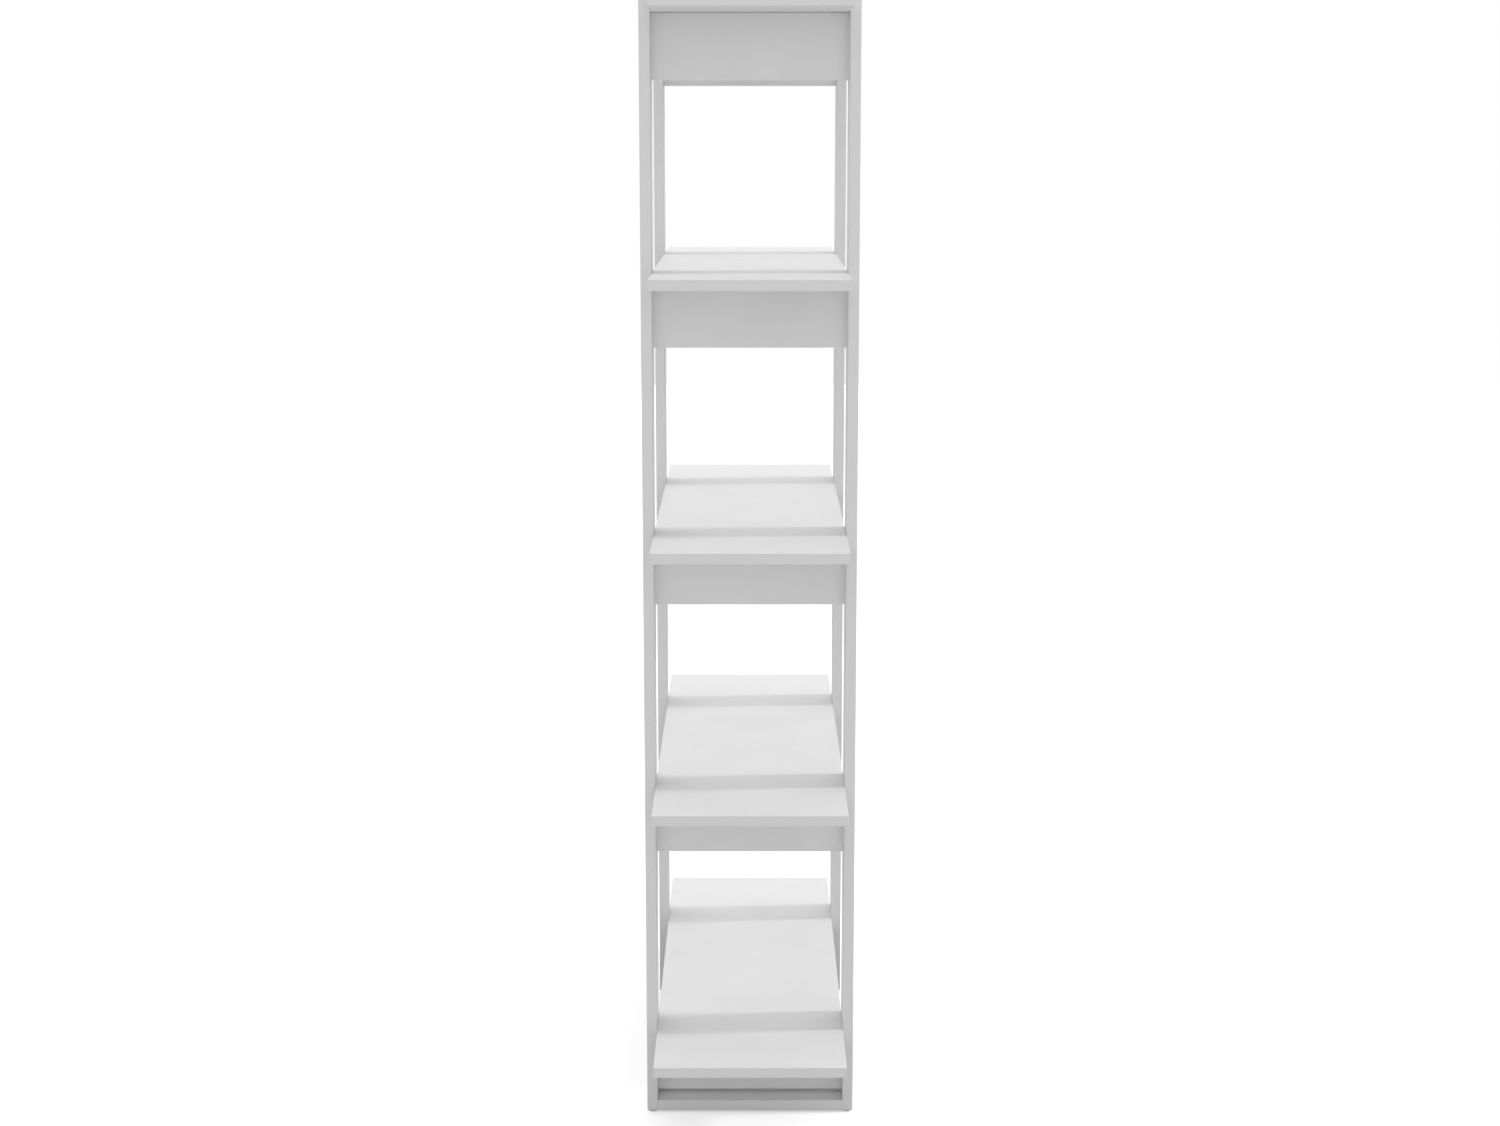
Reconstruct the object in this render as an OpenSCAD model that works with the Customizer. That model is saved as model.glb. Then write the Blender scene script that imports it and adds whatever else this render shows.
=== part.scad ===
// Open shelving unit: five shelves clamped between the posts of two portal frames.
// X runs along the shelves, Y across them, and Z up from the floor at the unit's centre.

/* [Overall] */
// Length of the shelves
unit_length = 800; // [700:10:1200]
// Depth over the posts
unit_depth = 300; // [240:5:450]
// Height from the floor to the posts' tops
unit_height = 1600; // [1200:10:2100]

/* [Boards] */
// Thickness of every board
board_t = 15; // [15:0.5:22]
// Thickness of the plastic strip on a board's edge
band_t = 1.3; // [1.1:0.1:2]
// Rounding of a strip's outer corners
edge_r = 1; // [0.2:0.1:1]

/* [Frames] */
// Width of a post and of a foot rail, along the shelves
post_w = 70; // [66:1:120]
// How far the shelves run on past the posts
overhang = 135; // [0:5:200]
// How far the posts rise above the top shelf
post_rise = 12; // [0:1:60]
// Height of an apron
apron_h = 90; // [80:1:140]
// How far an apron lies behind the posts' outer edges
apron_inset = 30; // [26:1:32]
// Gap between a shelf and the apron under it, so that neither binds on the other
apron_gap = 0.5; // [0.1:0.1:2]
// Gap between a foot rail and the bottom apron
foot_gap = 4.5; // [1:0.5:30]

/* [Dowels] */
// Diameter of a wooden dowel
dowel_d = 8; // [6:1:9]
// Length of dowel in a post
dowel_in_post = 10; // [8:0.5:12]
// Length of dowel in a shelf, apron or foot rail
dowel_in_board = 20; // [15:1:30]
// Distance of a shelf's dowel from the posts' outer edges
shelf_dowel_inset = 15; // [8:1:20]
// Distance of an apron's dowels above and below its middle
apron_dowel_pitch = 32; // [18:1:34]
// Distance of a foot rail's dowels from its middle
rail_dowel_pitch = 18; // [15:1:24]

/* [Cam fittings] */
// Diameter of a cam lock
cam_d = 15; // [12:0.5:16]
// Distance of a cam lock's centre from the board's end
cam_setback = 24; // [18:1:34]
// Depth of a cam lock beyond its bolt's centre line
cam_below = 4.5; // [4:0.1:5]
// Distance of a shelf's cam bolt from the posts' inner edges
shelf_cam_inset = 13; // [9:1:14]
// Diameter of a cam bolt's thread
bolt_d = 5; // [4:0.5:6]
// Length of thread in a post
bolt_in_post = 11; // [8:0.5:12]
// Diameter of a cam bolt's shank and of its head
shank_d = 6; // [5:0.5:6.5]
// Diameter of a cam lock's press-in cover
cover_d = 17; // [16.5:0.5:22]
// Thickness of a cover
cover_t = 1; // [0.6:0.1:1.5]

/* [Floor glides] */
// Diameter of a glide
glide_d = 13; // [8:0.5:14]
// Height of a glide
glide_h = 3; // [2.5:0.5:8]
// Distance of a glide from the middle of its post
glide_pitch = 27; // [26:1:27]
// Diameter of a glide's nail
nail_d = 2; // [1.5:0.1:2.5]
// Length of nail in a post
nail_in_post = 14; // [8:1:25]

/* [Clearances] */
// Clearance round a dowel, a thread, a nail or a cam lock, and between butted strips
snug = 0.05; // [0.02:0.01:0.15]
// Space left past the end of a dowel, a bolt, a nail or a lock
end_gap = 0.5; // [0.2:0.1:1]

/* [Hidden] */
$fn = 48;
LEVELS = ["bottom", "lower", "middle", "upper", "top"];
SIDES = ["left", "right"];

board_white = "#f4f4f3";
band_white = "#f0f0ef";
steel = "#c9ccd0";
zinc = "#b9bcc0";
beech = "#d8b98a";
glide_white = "#e9e9e6";

past = 1;                                     // how far a cutter runs out of what it cuts
span = unit_depth - 2 * board_t;              // between the posts, and a shelf's width
post_x = unit_length / 2 - overhang - post_w / 2;
apron_x = post_x + post_w / 2 - apron_inset - board_t / 2;
shelf_cam_x = post_x - post_w / 2 + shelf_cam_inset;
shelf_dowel_x = post_x + post_w / 2 - shelf_dowel_inset;

rail_z = glide_h + board_t / 2;               // middle of a foot rail's thickness
first_shelf_z = glide_h + board_t + foot_gap + apron_h + apron_gap + board_t / 2;
last_shelf_z = unit_height - post_rise - board_t / 2;
level_pitch = floor(10 * (last_shelf_z - first_shelf_z) / (len(LEVELS) - 1)) / 10; // to a tenth
function shelf_z(level) = first_shelf_z + level * level_pitch;
function apron_z(level) = shelf_z(level) - board_t / 2 - apron_gap - apron_h / 2;

cam_h = board_t / 2 + cam_below;
bore_d = dowel_d + 2 * snug;
tunnel_d = shank_d + 1;                       // passage for a bolt's head in its lock
tunnel_end = 3;                               // how far the passage runs past the lock's centre
head_l = 4;
neck_l = 4.5;
neck_d = 3.5;
collar_l = 2;
thread_depth = 0.6;
thread_pitch = 1.8;
key_l = 6;                                    // cross recess for a screwdriver
key_w = 1.4;
key_depth = 2.5;
key_play = 0.2;
chamfer = 0.8;
nail_head_d = 4.5;
nail_head_t = 0.8;
nail_recess = 1.4;

// ---- where things go ----

// A joint's own axes: X runs into the board from a post's inner face, Z towards the lock's face.
module at_joint(sx, sy, x, z, turn) {
    translate([sx * x, sy * span / 2, z]) rotate([0, 0, -90 * sy]) rotate([turn, 0, 0]) children();
}

module at_corners() {
    for (sx = [-1, 1], sy = [-1, 1]) {
        $sx = sx;
        $sy = sy;
        children();
    }
}

module at_shelf_cam(level) at_joint($sx, $sy, shelf_cam_x, shelf_z(level), 180) children();

module at_apron_cam(level) at_joint($sx, $sy, apron_x, apron_z(level), 90 * $sx * $sy) children();

module at_rail_cam() at_joint($sx, $sy, post_x, rail_z, 180) children();

module at_shelf_dowel(level) at_joint($sx, $sy, shelf_dowel_x, shelf_z(level), 0) children();

module at_apron_dowels(level) {
    for (s = [-1, 1])
        at_joint($sx, $sy, apron_x, apron_z(level) + s * apron_dowel_pitch, 0) children();
}

module at_rail_dowels() {
    for (s = [-1, 1]) at_joint($sx, $sy, post_x + s * rail_dowel_pitch, rail_z, 0) children();
}

module at_every_cam() {
    for (level = [0 : len(LEVELS) - 1]) {
        at_shelf_cam(level) children();
        at_apron_cam(level) children();
    }
    at_rail_cam() children();
}

module at_covered_cam() {
    for (level = [0 : len(LEVELS) - 1]) {
        at_shelf_cam(level) children();
        at_apron_cam(level) children();
    }
}

module at_every_dowel() {
    for (level = [0 : len(LEVELS) - 1]) {
        at_shelf_dowel(level) children();
        at_apron_dowels(level) children();
    }
    at_rail_dowels() children();
}

module at_glides() {
    for (s = [-1, 1])
        translate([$sx * post_x + s * glide_pitch, $sy * (span + board_t) / 2, 0]) children();
}

// ---- holes, each in its fitting's own axes ----

module along_x(d, from, to) {
    translate([from, 0, 0]) rotate([0, 90, 0]) cylinder(d = d, h = to - from);
}

module dowel_hole() {
    along_x(bore_d, -dowel_in_post - end_gap, dowel_in_board + end_gap);
}

module cam_hole() {
    along_x(bolt_d + 2 * snug, -bolt_in_post - end_gap, past);
    along_x(bore_d, 0, cam_setback);
    translate([cam_setback, 0, board_t / 2 - cam_h - end_gap])
        cylinder(d = cam_d + 2 * snug, h = cam_h + end_gap + past);
}

module nail_hole() {
    cylinder(d = nail_d + 2 * snug, h = glide_h + nail_in_post + end_gap);
}

// ---- boards and their edge strips ----

// A strip along Z, standing out in X from the board's raw edge, as wide as the board is thick.
module band(length) {
    linear_extrude(height = length, center = true) intersection() {
        translate([0, -board_t / 2]) square([band_t, board_t]);
        union() {
            translate([0, -board_t / 2]) square([band_t - edge_r, board_t]);
            translate([0, edge_r - board_t / 2]) square([band_t, board_t - 2 * edge_r]);
            for (s = [-1, 1])
                translate([band_t - edge_r, s * (board_t / 2 - edge_r)]) circle(r = edge_r);
        }
    }
}

module post(sx, sy) {
    height = unit_height - glide_h;
    color(board_white) difference() {
        translate([sx * post_x, sy * (span + board_t) / 2, glide_h + height / 2])
            cube([post_w - 2 * band_t, board_t, height - 2 * band_t], center = true);
        at_corners() {
            at_every_cam() cam_hole();
            at_every_dowel() dowel_hole();
            at_glides() nail_hole();
        }
    }
}

module post_edge_bands() {
    height = unit_height - glide_h;
    color(band_white) difference() {
        at_corners() translate([$sx * post_x, $sy * (span + board_t) / 2, glide_h + height / 2]) {
            for (turn = [0, 180])
                rotate([0, 0, turn]) translate([post_w / 2 - band_t, 0, 0]) band(height);
            for (turn = [-90, 90])
                rotate([0, turn, 0]) translate([height / 2 - band_t, 0, 0])
                    band(post_w - 2 * (band_t + snug));
        }
        at_corners() at_glides() nail_hole();
    }
}

module shelf(level) {
    color(board_white) difference() {
        translate([0, 0, shelf_z(level)])
            cube([unit_length - 2 * band_t, span - 2 * band_t, board_t], center = true);
        at_corners() {
            at_shelf_cam(level) cam_hole();
            at_shelf_dowel(level) dowel_hole();
        }
    }
}

module shelf_edge_bands() {
    color(band_white) for (level = [0 : len(LEVELS) - 1]) difference() {
        translate([0, 0, shelf_z(level)]) for (turn = [0, 180]) rotate([0, 0, turn]) {
            translate([0, span / 2 - band_t, 0]) rotate([90, 0, 90]) band(unit_length);
            translate([unit_length / 2 - band_t, 0, 0]) rotate([-90, 0, 0])
                band(span - 2 * (band_t + snug));
        }
        at_corners() {
            at_shelf_cam(level) cam_hole();
            at_shelf_dowel(level) dowel_hole();
        }
    }
}

module apron(level, sx) {
    color(board_white) difference() {
        translate([sx * apron_x, 0, apron_z(level) + band_t / 2])
            cube([board_t, span, apron_h - band_t], center = true);
        at_corners() {
            at_apron_cam(level) cam_hole();
            at_apron_dowels(level) dowel_hole();
        }
    }
}

module apron_edge_bands() {
    color(band_white) for (level = [0 : len(LEVELS) - 1], sx = [-1, 1])
        translate([sx * apron_x, 0, apron_z(level) - apron_h / 2 + band_t])
            rotate([90, 90, 0]) band(span);
}

module foot_rail(sx) {
    color(board_white) difference() {
        translate([sx * post_x, 0, rail_z]) cube([post_w - 2 * band_t, span, board_t], center = true);
        at_corners() {
            at_rail_cam() cam_hole();
            at_rail_dowels() dowel_hole();
        }
    }
}

module foot_rail_edge_bands() {
    color(band_white) for (sx = [-1, 1], turn = [0, 180])
        translate([sx * post_x, 0, rail_z]) rotate([0, 0, turn])
            translate([post_w / 2 - band_t, 0, 0]) rotate([-90, 0, 0]) band(span);
}

// ---- fittings ----

// A solid of revolution about X, from pairs of a place along X and a radius.
module turned(points) {
    first = points[0][0];
    last = points[len(points) - 1][0];
    rotate([0, 90, 0]) rotate_extrude()
        polygon(concat([[0, first]], [for (p = points) [p[1], p[0]]], [[0, last]]));
}

module dowels() {
    r = dowel_d / 2;
    color(beech) at_corners() at_every_dowel() turned([
        [-dowel_in_post, r - chamfer], [chamfer - dowel_in_post, r],
        [dowel_in_board - chamfer, r], [dowel_in_board, r - chamfer]
    ]);
}

module cam_bolts() {
    crest = bolt_d / 2;
    root = crest - thread_depth;
    turns = floor((bolt_in_post - collar_l) / thread_pitch);
    neck_x = cam_setback - head_l / 2 - neck_l;
    head_x = cam_setback - head_l / 2;
    color(steel) at_corners() at_every_cam() turned(concat(
        [[-bolt_in_post, root], [-bolt_in_post + chamfer, crest]],
        [for (i = [1 : turns], p = [[-0.5, crest], [0, root], [0.5, crest]])
            [-bolt_in_post + i * thread_pitch + p[0] * thread_pitch * 0.8, p[1]]],
        [[0, crest], [0, shank_d / 2 + 0.5], [collar_l, shank_d / 2 + 0.5]],
        [[collar_l, shank_d / 2], [neck_x, shank_d / 2]],
        [[neck_x + chamfer, neck_d / 2], [head_x, neck_d / 2]],
        [[head_x + chamfer, shank_d / 2], [head_x + head_l - chamfer, shank_d / 2]],
        [[head_x + head_l, neck_d / 2]]
    ));
}

// Two crossed slots, or the ribs that fit them.
module key_cross(length, width, height) {
    for (turn = [0, 90]) rotate([0, 0, turn]) cube([length, width, height], center = true);
}

module cam_locks() {
    color(zinc) at_corners() at_every_cam() translate([cam_setback, 0, 0]) difference() {
        translate([0, 0, board_t / 2 - cam_h]) cylinder(d = cam_d, h = cam_h);
        along_x(tunnel_d, -cam_d, tunnel_end);
        translate([0, 0, board_t / 2]) key_cross(key_l, key_w, 2 * key_depth);
    }
}

module cam_covers() {
    stud = key_depth - end_gap;
    color(band_white) at_corners() at_covered_cam() translate([cam_setback, 0, board_t / 2]) {
        rotate_extrude() polygon([
            [0, 0], [cover_d / 2, 0], [cover_d / 2, cover_t / 2],
            [cover_d / 2 - cover_t / 2, cover_t], [0, cover_t]
        ]);
        translate([0, 0, -stud / 2]) key_cross(key_l - key_play, key_w - key_play, stud);
    }
}

module floor_glides() {
    r = glide_d / 2;
    color(glide_white) at_corners() at_glides() difference() {
        rotate_extrude() polygon([[0, 0], [r - chamfer, 0], [r, chamfer], [r, glide_h], [0, glide_h]]);
        cylinder(d = nail_d + 2 * snug, h = glide_h + past);
        translate([0, 0, -past]) cylinder(d = nail_head_d + 2 * snug, h = nail_recess + past);
    }
}

module glide_nails() {
    color(steel) at_corners() at_glides() {
        translate([0, 0, nail_recess - nail_head_t]) cylinder(d = nail_head_d, h = nail_head_t);
        translate([0, 0, nail_recess])
            cylinder(d = nail_d, h = glide_h - nail_recess + nail_in_post - nail_d);
        translate([0, 0, glide_h + nail_in_post - nail_d])
            cylinder(d1 = nail_d, d2 = nail_d / 4, h = nail_d);
    }
}

post(-1, -1);  // post_front_left
post(1, -1);  // post_front_right
post(-1, 1);  // post_back_left
post(1, 1);  // post_back_right
for (level = [0 : len(LEVELS) - 1]) {
    shelf(level);
    apron(level, -1);
    apron(level, 1);
}
foot_rail(-1);  // foot_rail_left
foot_rail(1);  // foot_rail_right
shelf_edge_bands();
post_edge_bands();
apron_edge_bands();
foot_rail_edge_bands();
dowels();
cam_bolts();
cam_locks();
cam_covers();
floor_glides();
glide_nails();
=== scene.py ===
import math

import bpy
import numpy as np
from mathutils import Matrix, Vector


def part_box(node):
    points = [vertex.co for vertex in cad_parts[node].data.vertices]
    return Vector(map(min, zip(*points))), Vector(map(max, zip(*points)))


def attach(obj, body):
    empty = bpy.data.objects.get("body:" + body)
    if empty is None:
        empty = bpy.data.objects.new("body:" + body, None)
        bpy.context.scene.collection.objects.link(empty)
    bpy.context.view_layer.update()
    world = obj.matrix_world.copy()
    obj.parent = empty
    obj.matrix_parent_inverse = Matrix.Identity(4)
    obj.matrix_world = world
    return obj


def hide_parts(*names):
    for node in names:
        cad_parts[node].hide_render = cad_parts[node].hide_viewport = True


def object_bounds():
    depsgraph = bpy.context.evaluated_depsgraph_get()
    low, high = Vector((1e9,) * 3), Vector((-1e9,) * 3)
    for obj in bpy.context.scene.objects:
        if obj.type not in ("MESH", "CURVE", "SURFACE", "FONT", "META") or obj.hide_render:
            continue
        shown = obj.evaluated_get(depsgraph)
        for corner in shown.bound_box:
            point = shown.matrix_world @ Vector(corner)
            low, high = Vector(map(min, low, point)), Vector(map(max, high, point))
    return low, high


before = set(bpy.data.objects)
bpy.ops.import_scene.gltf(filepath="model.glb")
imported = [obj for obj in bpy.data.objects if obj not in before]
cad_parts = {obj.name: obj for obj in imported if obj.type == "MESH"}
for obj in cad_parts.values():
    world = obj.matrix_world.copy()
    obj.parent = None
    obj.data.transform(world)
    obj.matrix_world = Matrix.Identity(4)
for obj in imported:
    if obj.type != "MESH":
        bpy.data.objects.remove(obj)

cad_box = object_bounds()


# ---- Posts --------------------------------------------------------------------------------------
# Four flat posts, two to a frame, sawn from 15 mm particleboard that comes faced with white
# melamine. Each stands outside the shelves' long edges and is bored on its inner face only.

SIDES = (("left", -1), ("right", 1))
FACES = (("front", -1), ("back", 1))


def linear(code):
    """An sRGB hex code's linear colour: each channel over 255, raised along the sRGB curve."""
    srgb = np.array([int(code[i : i + 2], 16) for i in (1, 3, 5)]) / 255
    curve = np.where(srgb <= 0.04045, srgb / 12.92, ((srgb + 0.055) / 1.055) ** 2.4)
    return (*curve.tolist(), 1.0)


def add(tree, kind, inputs=None, **settings):
    """Adds a node: settings are its own properties, inputs its sockets' values or the links to them."""
    node = tree.nodes.new(kind)
    for key, value in settings.items():
        setattr(node, key, value)
    for key, value in (inputs or {}).items():
        if isinstance(value, bpy.types.NodeSocket):
            tree.links.new(value, node.inputs[key])
        else:
            node.inputs[key].default_value = value
    return node


def start(name):
    """A new material with an empty tree, and that tree."""
    made = bpy.data.materials.new(name)
    made.use_nodes = True
    made.node_tree.nodes.clear()
    return made, made.node_tree


def end(tree, surface):
    """Joins the surface shader to the material's output."""
    add(tree, "ShaderNodeOutputMaterial", {"Surface": surface.outputs[0]})


# White melamine: resin-soaked paper pressed hot on to the board by a textured steel plate. The
# plate leaves a fine pearl, which spreads every highlight into a satin sheen. The pearl is really
# 0.3 mm and is drawn at 1.5 mm so that it shows. The paper's white clouds a little over a board.
melamine, tree = start("white_melamine")
place = add(tree, "ShaderNodeTexCoord").outputs["Object"]
pearl = add(tree, "ShaderNodeTexNoise",
            {"Vector": place, "Scale": 1 / 0.0015, "Detail": 2.0, "Roughness": 0.6})
cloud = add(tree, "ShaderNodeTexNoise",
            {"Vector": place, "Scale": 1 / 0.12, "Detail": 3.0, "Roughness": 0.55})
tone = add(tree, "ShaderNodeValToRGB", {"Fac": cloud.outputs["Fac"]})
tone.color_ramp.elements[0].position = 0.35
tone.color_ramp.elements[0].color = linear("#e7e7e7")
tone.color_ramp.elements[1].position = 0.65
tone.color_ramp.elements[1].color = linear("#ebebeb")
gloss = add(tree, "ShaderNodeMapRange", {"Value": cloud.outputs["Fac"], "To Min": 0.44, "To Max": 0.54})
relief = add(tree, "ShaderNodeBump", {"Height": pearl.outputs["Fac"], "Strength": 0.25, "Distance": 0.00008})
end(tree, add(tree, "ShaderNodeBsdfPrincipled", {
    "Base Color": tone.outputs["Color"],
    "Roughness": gloss.outputs["Result"],
    "IOR": 1.5,
    "Normal": relief.outputs["Normal"],
}))


def finish_node(node, material):
    """Keeps a CAD node's shape and gives it the material."""
    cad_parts[node].data.materials.clear()
    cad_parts[node].data.materials.append(material)


for face, _ in FACES:
    for side, _ in SIDES:
        finish_node(f"post_{face}_{side}", melamine)


# ---- Edge strips --------------------------------------------------------------------------------
# White plastic strips, melted on to the boards' raw edges. Their outer corners are milled round
# along the edge, and their free ends are buffed, so each board's outline catches a soft line.

BAND_T = 0.0013
BOARD_T = 0.015
MILLED = 0.001        # radius along the strip's outer corners
BUFFED = 0.0006       # radius across its free ends
SCRAPED = 0.00012     # bevel that the glue scraper leaves beside the joint


def make_piece(name, points, quads, caps=(), uv=None):
    """A mesh object from arrays: points, the four corners of each quad, closing faces, a UV per corner."""
    mesh = bpy.data.meshes.new(name)
    mesh.from_pydata(points.tolist(), [], quads.tolist() + [list(cap) for cap in caps])
    if uv is not None:
        corner = np.zeros(len(mesh.loops), int)
        mesh.loops.foreach_get("vertex_index", corner)
        mesh.uv_layers.new(name="run").data.foreach_set("uv", uv[corner].ravel())
    mesh.update()
    made = bpy.data.objects.new(name, mesh)
    bpy.context.scene.collection.objects.link(made)
    return made


def grid_quads(rows, columns, wrap=True):
    """Corners of the quads between neighbouring points of a grid, whose columns may wrap round."""
    r, c = np.meshgrid(np.arange(rows - 1), np.arange(columns if wrap else columns - 1), indexing="ij")
    after = (c + 1) % columns
    corners = (r * columns + c, r * columns + after, (r + 1) * columns + after, (r + 1) * columns + c)
    return np.stack([k.ravel() for k in corners], axis=1)


def strip_outline():
    """The strip's section, (out, across): a rectangle whose outer corners are quarter circles of
    MILLED, taken in 8 steps, and whose corners at the joint are cut off by SCRAPED."""
    turn = np.linspace(0, np.pi / 2, 9)
    out = BAND_T - MILLED + MILLED * np.sin(turn)
    across = -BOARD_T / 2 + MILLED - MILLED * np.cos(turn)
    half = np.stack([np.r_[0, SCRAPED, out], np.r_[-BOARD_T / 2 + SCRAPED, -BOARD_T / 2, across]], axis=1)
    other = half[::-1] * (1, -1)
    return np.concatenate([half, other])


def strip(name, middle, along, outward, length, free_ends):
    """The outline carried along a straight edge. At a free end the outer face follows a quarter
    circle of BUFFED: it lies back by BUFFED * (1 - cos) where the end is BUFFED * (1 - sin) away."""
    outline = strip_outline()
    from_end, reach = np.array([0.0]), np.array([BAND_T])
    if free_ends:
        turn = np.linspace(np.pi / 2, 0, 7)
        from_end = BUFFED * (1 - np.sin(turn))
        reach = BAND_T - BUFFED + BUFFED * np.cos(turn)
    run = np.concatenate([from_end - length / 2, length / 2 - from_end[::-1]])
    limit = np.concatenate([reach, reach[::-1]])
    out = np.minimum(outline[None, :, 0], limit[:, None])
    along, outward = np.array(along, float), np.array(outward, float)
    sideways = np.cross(along, outward)
    points = (np.array(middle) + run[:, None, None] * along + out[..., None] * outward
              + outline[None, :, 1, None] * sideways)
    rows, columns = out.shape
    quads = grid_quads(rows, columns)
    caps = (range(columns - 1, -1, -1), range((rows - 1) * columns, rows * columns))
    across = np.r_[0, np.cumsum(np.linalg.norm(np.diff(outline, axis=0), axis=1))]
    uv = np.stack(np.broadcast_arrays(run[:, None], across[None, :]), axis=-1).reshape(-1, 2)
    return make_piece(name, points.reshape(-1, 3), quads, caps, uv)


# ABS edging: extruded smooth and a touch glossier than the board. The mill's knives and the
# scraper leave faint lines along it, drawn 0.6 mm apart across the strip and 60 mm long.
edging, tree = start("white_abs_edging")
run = add(tree, "ShaderNodeUVMap", uv_map="run").outputs["UV"]
stretch = add(tree, "ShaderNodeMapping", {"Vector": run, "Scale": (1 / 0.06, 1 / 0.0006, 1.0)})
lines = add(tree, "ShaderNodeTexNoise", {"Vector": stretch.outputs["Vector"], "Scale": 1.0, "Detail": 2.0})
tone = add(tree, "ShaderNodeMix", {"Factor": lines.outputs["Fac"]}, data_type="RGBA")
tone.inputs["A"].default_value = linear("#e9e9e9")
tone.inputs["B"].default_value = linear("#ececec")
gloss = add(tree, "ShaderNodeMapRange", {"Value": lines.outputs["Fac"], "To Min": 0.34, "To Max": 0.44})
relief = add(tree, "ShaderNodeBump", {"Height": lines.outputs["Fac"], "Strength": 0.15, "Distance": 0.00005})
end(tree, add(tree, "ShaderNodeBsdfPrincipled", {
    "Base Color": tone.outputs["Result"],
    "Roughness": gloss.outputs["Result"],
    "IOR": 1.53,
    "Normal": relief.outputs["Normal"],
}))


def fit_strip(node, name, middle, along, outward, length, free_ends=False):
    """Makes one strip of those that a CAD node groups, and fixes it to the unit."""
    made = strip(name, middle, along, outward, length, free_ends)
    made.data.materials.append(edging)
    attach(made, "root")
    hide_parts(node)


BUTT_GAP = 0.00005    # left at each end of a strip that butts between two others

for face, _ in FACES:
    for side, sx in SIDES:
        low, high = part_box(f"post_{face}_{side}")
        centre = (low + high) / 2
        height = high.z - low.z
        for edge, out in (("outer", sx), ("inner", -sx)):
            x = high.x if out > 0 else low.x
            fit_strip("post_edge_bands", f"post_{face}_{side}_strip_{edge}", (x, centre.y, centre.z),
                      (0, 0, 1), (out, 0, 0), height + 2 * BAND_T, free_ends=True)
        for edge, out, z in (("top", 1, high.z), ("foot", -1, low.z)):
            fit_strip("post_edge_bands", f"post_{face}_{side}_strip_{edge}", (centre.x, centre.y, z),
                      (1, 0, 0), (0, 0, out), high.x - low.x - 2 * BUTT_GAP)


# ---- Foot rails ---------------------------------------------------------------------------------
# A flat board that ties each frame's two posts together just above the floor. Its ends butt on
# the posts, so it has strips on its two long edges only.

for side, sx in SIDES:
    node = f"foot_rail_{side}"
    finish_node(node, melamine)
    low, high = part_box(node)
    centre = (low + high) / 2
    for edge, out in (("outer", sx), ("inner", -sx)):
        fit_strip("foot_rail_edge_bands", f"{node}_strip_{edge}",
                  (high.x if out > 0 else low.x, centre.y, centre.z), (0, 1, 0), (out, 0, 0), high.y - low.y)


# ---- Aprons -------------------------------------------------------------------------------------
# An upright cross board under each shelf in each frame, which keeps the frame square. Its upper
# edge lies under the shelf and its ends butt on the posts, so it has one strip, along the bottom.

LEVELS = ("bottom", "lower", "middle", "upper", "top")

for level in LEVELS:
    for side, sx in SIDES:
        node = f"{level}_apron_{side}"
        finish_node(node, melamine)
        low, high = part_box(node)
        centre = (low + high) / 2
        fit_strip("apron_edge_bands", f"{node}_strip", (centre.x, centre.y, low.z),
                  (0, 1, 0), (0, 0, -1), high.y - low.y)


# ---- Shelves ------------------------------------------------------------------------------------
# Five full-length boards that run on past both frames, stripped on all four edges. The strips on
# the long edges are put on last and run over the ends of the short ones.

for level in LEVELS:
    node = f"{level}_shelf"
    finish_node(node, melamine)
    low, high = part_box(node)
    centre = (low + high) / 2
    for edge, out in FACES:
        fit_strip("shelf_edge_bands", f"{node}_strip_{edge}",
                  (centre.x, high.y if out > 0 else low.y, centre.z), (1, 0, 0), (0, out, 0),
                  high.x - low.x + 2 * BAND_T, free_ends=True)
    for edge, out in SIDES:
        fit_strip("shelf_edge_bands", f"{node}_strip_{edge}",
                  (high.x if out > 0 else low.x, centre.y, centre.z), (0, 1, 0), (out, 0, 0),
                  high.y - low.y - 2 * BUTT_GAP)


# ---- Dowels -------------------------------------------------------------------------------------
# Turned beech dowels, glued into the boards' ends and pushed into the posts. They hold each board
# in its place while the cam bolts clamp it.

# Raw beech: pinkish brown, with short darker flecks along the grain, some 8 mm long and 0.7 mm wide.
beech, tree = start("raw_beech")
place = add(tree, "ShaderNodeTexCoord").outputs["Object"]
stretch = add(tree, "ShaderNodeMapping", {"Vector": place, "Scale": (1 / 0.0007, 1 / 0.008, 1 / 0.0007)})
grain = add(tree, "ShaderNodeTexNoise", {"Vector": stretch.outputs["Vector"], "Scale": 1.0, "Detail": 3.0})
tone = add(tree, "ShaderNodeValToRGB", {"Fac": grain.outputs["Fac"]})
tone.color_ramp.elements[0].position = 0.32
tone.color_ramp.elements[0].color = linear("#a9825c")
tone.color_ramp.elements[1].position = 0.55
tone.color_ramp.elements[1].color = linear("#d3b08a")
relief = add(tree, "ShaderNodeBump", {"Height": grain.outputs["Fac"], "Strength": 0.3, "Distance": 0.0001})
end(tree, add(tree, "ShaderNodeBsdfPrincipled", {
    "Base Color": tone.outputs["Color"],
    "Roughness": 0.62,
    "IOR": 1.5,
    "Normal": relief.outputs["Normal"],
}))
finish_node("dowels", beech)


# ---- Cam bolts ----------------------------------------------------------------------------------
# Each bolt's thread is driven into a post. Its waisted head sticks out into the board, where the
# cam lock hooks behind it.

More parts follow.
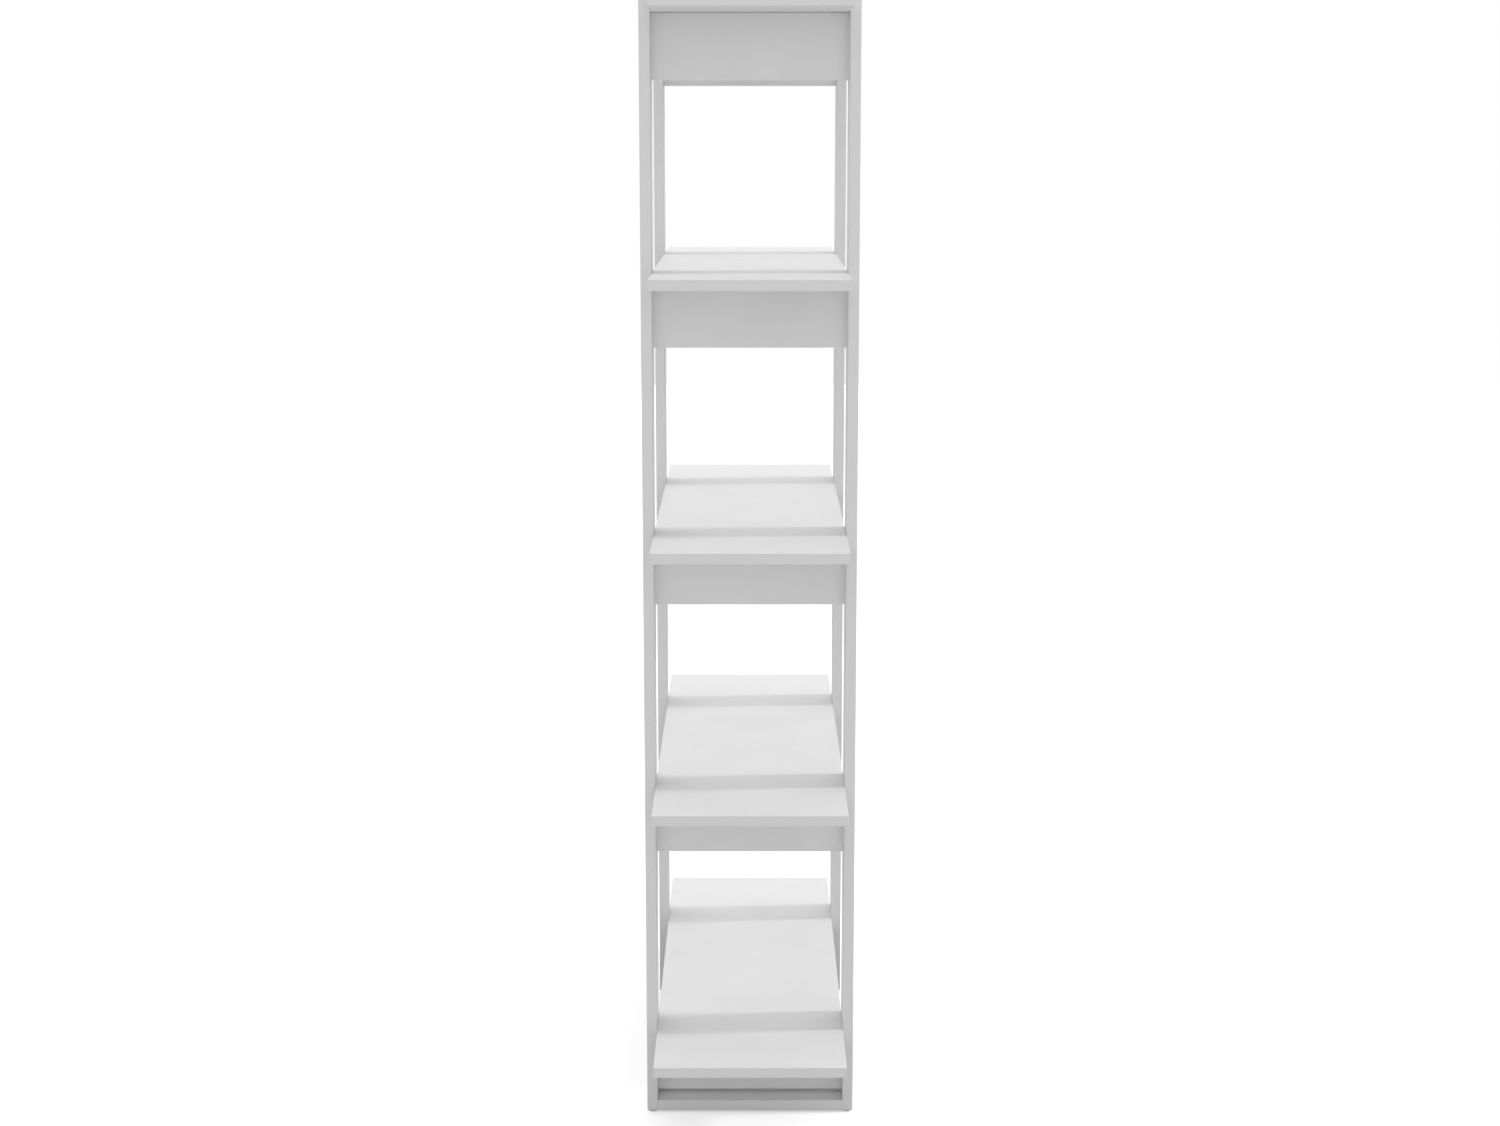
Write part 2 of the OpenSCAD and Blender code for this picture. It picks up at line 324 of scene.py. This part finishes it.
# Zinc-plated steel: bright and faintly blue, its plating a little cloudy every 3 mm.
plated, tree = start("zinc_plated_steel")
place = add(tree, "ShaderNodeTexCoord").outputs["Object"]
cloud = add(tree, "ShaderNodeTexNoise", {"Vector": place, "Scale": 1 / 0.003, "Detail": 3.0})
gloss = add(tree, "ShaderNodeMapRange", {"Value": cloud.outputs["Fac"], "To Min": 0.2, "To Max": 0.36})
tone = add(tree, "ShaderNodeMix", {"Factor": cloud.outputs["Fac"]}, data_type="RGBA")
tone.inputs["A"].default_value = linear("#b9c0c8")
tone.inputs["B"].default_value = linear("#d2d5d8")
end(tree, add(tree, "ShaderNodeBsdfPrincipled", {
    "Base Color": tone.outputs["Result"],
    "Metallic": 1.0,
    "Roughness": gloss.outputs["Result"],
}))
finish_node("cam_bolts", plated)


# ---- Cam locks ----------------------------------------------------------------------------------
# Drums of cast zinc in blind holes. A half turn of the cross recess draws the bolt, and with it
# the board, tight against the post.

# Die-cast zinc: a dull grey skin with a fine chill grain of 0.5 mm, left as it leaves the die.
cast, tree = start("die_cast_zinc")
place = add(tree, "ShaderNodeTexCoord").outputs["Object"]
skin = add(tree, "ShaderNodeTexNoise",
           {"Vector": place, "Scale": 1 / 0.0005, "Detail": 4.0, "Roughness": 0.7})
gloss = add(tree, "ShaderNodeMapRange", {"Value": skin.outputs["Fac"], "To Min": 0.42, "To Max": 0.62})
relief = add(tree, "ShaderNodeBump", {"Height": skin.outputs["Fac"], "Strength": 0.4, "Distance": 0.00005})
end(tree, add(tree, "ShaderNodeBsdfPrincipled", {
    "Base Color": linear("#a5a8ab"),
    "Metallic": 1.0,
    "Roughness": gloss.outputs["Result"],
    "Normal": relief.outputs["Normal"],
}))
finish_node("cam_locks", cast)


# ---- Cam covers ---------------------------------------------------------------------------------
# Moulded caps that hide the locks under the shelves and on the aprons' inner faces. A cross-shaped
# stud on the back presses into the lock's recess, and the face is slightly crowned.

COVER_R = 0.0085
COVER_T = 0.001
COVER_EDGE = 0.00045      # radius round the rim
CROWN = 0.0001            # how far the face's middle stands above its rim
STUD_ARM = 0.0029         # half the length and half the width of the cross
STUD_RIB = 0.0006
STUD_DEPTH = 0.002
STUD_LEAD = 0.0002        # height of the taper that leads the stud into the recess
STUD_TIP = 0.85           # the tip's share of the stud's full size
GATE_R = 0.0005           # dimple left where the plastic was let into the mould
GATE_FLOOR = 0.6          # the dimple floor's share of its radius
GATE_DEPTH = 0.00005
CAM_SETBACK = 0.024       # from a board's end to a lock's middle
SHELF_CAM_INSET = 0.013   # from the posts' inner edges to a shelf's locks


def cover(middle, outward):
    """Rings about the cover's axis, each with a height and a radius that may change with the angle.
    The stud's radius is the smaller of arm / cos and rib / sin of the angle folded into an eighth
    of a turn, which is a cross. The rim is a quarter circle and the face a shallow parabola."""
    angle = np.linspace(0, 2 * np.pi, 49)[:-1]
    fold = np.abs((angle + np.pi / 4) % (np.pi / 2) - np.pi / 4)
    cross = np.minimum(STUD_ARM / np.cos(fold), STUD_RIB / np.maximum(np.sin(fold), 1e-6))
    turn = np.linspace(0, np.pi / 2, 6)
    rim_r = COVER_R - COVER_EDGE + COVER_EDGE * np.cos(turn)
    rim_z = COVER_T - CROWN - COVER_EDGE + COVER_EDGE * np.sin(turn)
    face_r = np.linspace(COVER_R - COVER_EDGE, GATE_R, 5)[1:]
    face_z = COVER_T - CROWN * (face_r / COVER_R) ** 2
    ring_z = np.r_[-STUD_DEPTH, -STUD_DEPTH + STUD_LEAD, 0, 0, rim_z, face_z, COVER_T - GATE_DEPTH]
    even_r = np.r_[rim_r, face_r, GATE_FLOOR * GATE_R]
    ring_r = np.concatenate([[STUD_TIP * cross, cross, cross, np.full_like(cross, COVER_R)],
                             np.repeat(even_r[:, None], angle.size, axis=1)])
    outward = np.array(outward, float)
    sideways = np.array([0, 1.0, 0])
    third = np.cross(outward, sideways)
    points = (np.array(middle) + ring_z[:, None, None] * outward
              + (ring_r * np.cos(angle))[..., None] * sideways + (ring_r * np.sin(angle))[..., None] * third)
    rows, columns = ring_r.shape
    quads = grid_quads(rows, columns)
    caps = (range(columns - 1, -1, -1), range((rows - 1) * columns, rows * columns))
    return points.reshape(-1, 3), quads, caps


def joined(parts):
    """Several pieces of one mesh as one: their points end to end, and their faces counted on."""
    points, quads, caps, count = [], [], [], 0
    for part_points, part_quads, part_caps in parts:
        points.append(part_points)
        quads.append(part_quads + count)
        caps.extend([np.array(cap) + count for cap in part_caps])
        count += len(part_points)
    return np.concatenate(points), np.concatenate(quads), caps


# Moulded polypropylene: a milky white, softer in its shine than the board, with the mould's fine
# spark-eroded grain of 0.4 mm.
moulded, tree = start("white_moulded_polypropylene")
place = add(tree, "ShaderNodeTexCoord").outputs["Object"]
spark = add(tree, "ShaderNodeTexNoise", {"Vector": place, "Scale": 1 / 0.0004, "Detail": 1.0})
relief = add(tree, "ShaderNodeBump", {"Height": spark.outputs["Fac"], "Strength": 0.3, "Distance": 0.00004})
end(tree, add(tree, "ShaderNodeBsdfPrincipled", {
    "Base Color": linear("#e2e2e0"),
    "Roughness": 0.5,
    "IOR": 1.49,
    "Normal": relief.outputs["Normal"],
}))


def fit_covers(board, places):
    """Makes the covers of one board, from pairs of a place and an outward direction."""
    made = make_piece(f"{board}_cam_covers", *joined([cover(*place) for place in places]))
    made.data.materials.append(moulded)
    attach(made, "root")
    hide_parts("cam_covers")


post_low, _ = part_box("post_back_right")
lock_x = post_low.x - BAND_T + SHELF_CAM_INSET
lock_y = post_low.y - CAM_SETBACK
for level in LEVELS:
    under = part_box(f"{level}_shelf")[0].z
    fit_covers(f"{level}_shelf", [((sx * lock_x, sy * lock_y, under), (0, 0, -1))
                                  for _, sx in SIDES for _, sy in FACES])
    for side, sx in SIDES:
        low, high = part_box(f"{level}_apron_{side}")
        inner_x = low.x if sx > 0 else high.x
        middle_z = (low.z - BAND_T + high.z) / 2
        fit_covers(f"{level}_apron_{side}", [((inner_x, sy * lock_y, middle_z), (-sx, 0, 0))
                                             for _, sy in FACES])


# ---- Floor glides -------------------------------------------------------------------------------
# Two nylon buttons under each post lift the boards' edges off a damp floor. Each is held by a nail
# whose head is sunk below the sole.

GLIDE_R = 0.0065
GLIDE_H = 0.003
GLIDE_SOLE = 0.0009       # radius round the sole
GLIDE_PITCH = 0.027       # from a post's middle
NAIL_R = 0.00105
HEAD_R = 0.0023
HEAD_DEPTH = 0.0014


def glide(x, y):
    """A closed outline of radius and height, turned about an upright axis: down the nail's hole,
    along its recess, over the sole, round a quarter circle, up the side and back across the top."""
    turn = np.linspace(0, np.pi / 2, 7)
    radius = np.r_[NAIL_R, NAIL_R, HEAD_R, HEAD_R, GLIDE_R - GLIDE_SOLE + GLIDE_SOLE * np.sin(turn), GLIDE_R]
    height = np.r_[GLIDE_H, HEAD_DEPTH, HEAD_DEPTH, 0, GLIDE_SOLE - GLIDE_SOLE * np.cos(turn), GLIDE_H]
    radius, height = np.r_[radius, NAIL_R], np.r_[height, GLIDE_H]
    angle = np.linspace(0, 2 * np.pi, 41)[:-1]
    points = np.stack([x + radius[:, None] * np.cos(angle), y + radius[:, None] * np.sin(angle),
                       np.repeat(height[:, None], angle.size, axis=1)], axis=-1)
    quads = grid_quads(len(radius), angle.size)
    count = (len(radius) - 1) * angle.size
    return points[:-1].reshape(-1, 3), quads % count, ()


# Moulded nylon: off-white and slightly waxy, its sole scuffed in 4 mm patches.
nylon, tree = start("off_white_nylon")
place = add(tree, "ShaderNodeTexCoord").outputs["Object"]
scuff = add(tree, "ShaderNodeTexNoise", {"Vector": place, "Scale": 1 / 0.004, "Detail": 4.0})
gloss = add(tree, "ShaderNodeMapRange", {"Value": scuff.outputs["Fac"], "To Min": 0.35, "To Max": 0.6})
tone = add(tree, "ShaderNodeMix", {"Factor": scuff.outputs["Fac"]}, data_type="RGBA")
tone.inputs["A"].default_value = linear("#d6d5cf")
tone.inputs["B"].default_value = linear("#e2e1dc")
end(tree, add(tree, "ShaderNodeBsdfPrincipled", {
    "Base Color": tone.outputs["Result"],
    "Roughness": gloss.outputs["Result"],
    "IOR": 1.53,
}))

for face, _ in FACES:
    for side, _ in SIDES:
        low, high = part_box(f"post_{face}_{side}")
        centre = (low + high) / 2
        pair = [glide(centre.x + s * GLIDE_PITCH, centre.y) for s in (-1, 1)]
        made = make_piece(f"post_{face}_{side}_glides", *joined(pair))
        made.data.materials.append(nylon)
        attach(made, "root")
        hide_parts("floor_glides")


# ---- Glide nails --------------------------------------------------------------------------------
# Flat-headed wire nails, driven up through the glides into the posts' ends.

# Bright drawn steel wire: clean and cool grey, with draw lines 0.3 mm apart round the shank.
wire, tree = start("bright_steel_wire")
place = add(tree, "ShaderNodeTexCoord").outputs["Object"]
stretch = add(tree, "ShaderNodeMapping", {"Vector": place, "Scale": (1 / 0.0003, 1 / 0.0003, 1 / 0.005)})
drawn = add(tree, "ShaderNodeTexNoise", {"Vector": stretch.outputs["Vector"], "Scale": 1.0, "Detail": 2.0})
gloss = add(tree, "ShaderNodeMapRange", {"Value": drawn.outputs["Fac"], "To Min": 0.22, "To Max": 0.4})
end(tree, add(tree, "ShaderNodeBsdfPrincipled", {
    "Base Color": linear("#c3c6c9"),
    "Metallic": 1.0,
    "Roughness": gloss.outputs["Result"],
}))
finish_node("glide_nails", wire)


# ---- Floor, light and camera --------------------------------------------------------------------
# A plain pale floor, a white surround that is brightest beyond the unit's two ends, and one soft
# lamp at its side.

FLOOR_REACH = 9.0
corners = np.array([(-1, -1, 0), (1, -1, 0), (1, 1, 0), (-1, 1, 0)]) * FLOOR_REACH
floor = make_piece("floor", corners, np.array([(0, 1, 2, 3)]))

# Matt paint. What the camera sees of it is lifted towards white, so that it ends in the backdrop,
# while a darker grey is what it throws back at the unit.
paint, tree = start("pale_floor_paint")
matt = add(tree, "ShaderNodeBsdfDiffuse", {"Color": linear("#d0d0d0")})
pale = add(tree, "ShaderNodeBsdfDiffuse", {"Color": linear("#f4f4f4")})
glow = add(tree, "ShaderNodeEmission", {"Color": (1, 1, 1, 1), "Strength": 0.42})
bright = add(tree, "ShaderNodeAddShader", {0: pale.outputs[0], 1: glow.outputs[0]})
seen = add(tree, "ShaderNodeLightPath").outputs["Is Camera Ray"]
end(tree, add(tree, "ShaderNodeMixShader", {0: seen, 1: matt.outputs[0], 2: bright.outputs[0]}))
floor.data.materials.append(paint)

scene = bpy.context.scene
scene.view_settings.view_transform = "Standard"

world = bpy.data.worlds.new("studio")
scene.world = world
world.use_nodes = True
tree = world.node_tree
tree.nodes.clear()

# Each lobe is an axis and its sign, the power that narrows it, 1 where it is weighted by height,
# and its strength. The surround is their sum, and what the camera sees of it is plain white.
way = add(tree, "ShaderNodeSeparateXYZ",
          {"Vector": add(tree, "ShaderNodeTexCoord").outputs["Generated"]})
LOBES = (("Z", 1, 3, 0, 0.34), ("Y", 1, 1, 1, 1.44), ("Y", -1, 1, 1, 1.5), ("X", 1, 6, 0, 1.72),
         ("X", -1, 1, 0, 0.98), ("X", -1, 1, 1, 0.56))
total = 0.0
lift = add(tree, "ShaderNodeMath", {0: way.outputs["Z"], 1: 0.0}, operation="MAXIMUM").outputs[0]
for axis, sign, power, high, weight in LOBES:
    along = add(tree, "ShaderNodeMath", {0: way.outputs[axis], 1: float(sign)}, operation="MULTIPLY")
    ahead = add(tree, "ShaderNodeMath", {0: along.outputs[0], 1: 0.0}, operation="MAXIMUM")
    lobe = add(tree, "ShaderNodeMath", {0: ahead.outputs[0], 1: float(power)}, operation="POWER").outputs[0]
    if high:
        lobe = add(tree, "ShaderNodeMath", {0: lobe, 1: lift}, operation="MULTIPLY").outputs[0]
    lobe = add(tree, "ShaderNodeMath", {0: lobe, 1: weight, 2: total}, operation="MULTIPLY_ADD")
    total = lobe.outputs[0]
surround = add(tree, "ShaderNodeBackground", {"Color": total, "Strength": 1.0})
backdrop = add(tree, "ShaderNodeBackground", {"Color": (1, 1, 1, 1), "Strength": 1.0})
seen = add(tree, "ShaderNodeLightPath").outputs["Is Camera Ray"]
shown = add(tree, "ShaderNodeMixShader", {0: seen, 1: surround.outputs[0], 2: backdrop.outputs[0]})
add(tree, "ShaderNodeOutputWorld", {"Surface": shown.outputs[0]})

LAMP_UP = math.radians(30)        # above the horizon
LAMP_BEHIND = math.radians(4)     # from the unit's side, away from the camera
lamp = bpy.data.lights.new("side_lamp", "SUN")
lamp.energy = 1.08
lamp.angle = math.radians(6)
lamp_at = bpy.data.objects.new("side_lamp", lamp)
lamp_at.rotation_euler = (math.pi / 2 - LAMP_UP, 0, math.pi + LAMP_BEHIND)
scene.collection.objects.link(lamp_at)

CAMERA_AWAY = 2.933               # from the shelves' near ends
CAMERA_HIGH = 1.423
CAMERA_DOWN = math.radians(9.99)
lens = bpy.data.cameras.new("camera")
lens.lens = 53.6
lens.shift_y = -0.03
camera = bpy.data.objects.new("camera", lens)
camera.location = (cad_box[1].x + CAMERA_AWAY, 0, CAMERA_HIGH)
camera.rotation_euler = (math.pi / 2 - CAMERA_DOWN, 0, math.pi / 2)
scene.collection.objects.link(camera)
scene.camera = camera
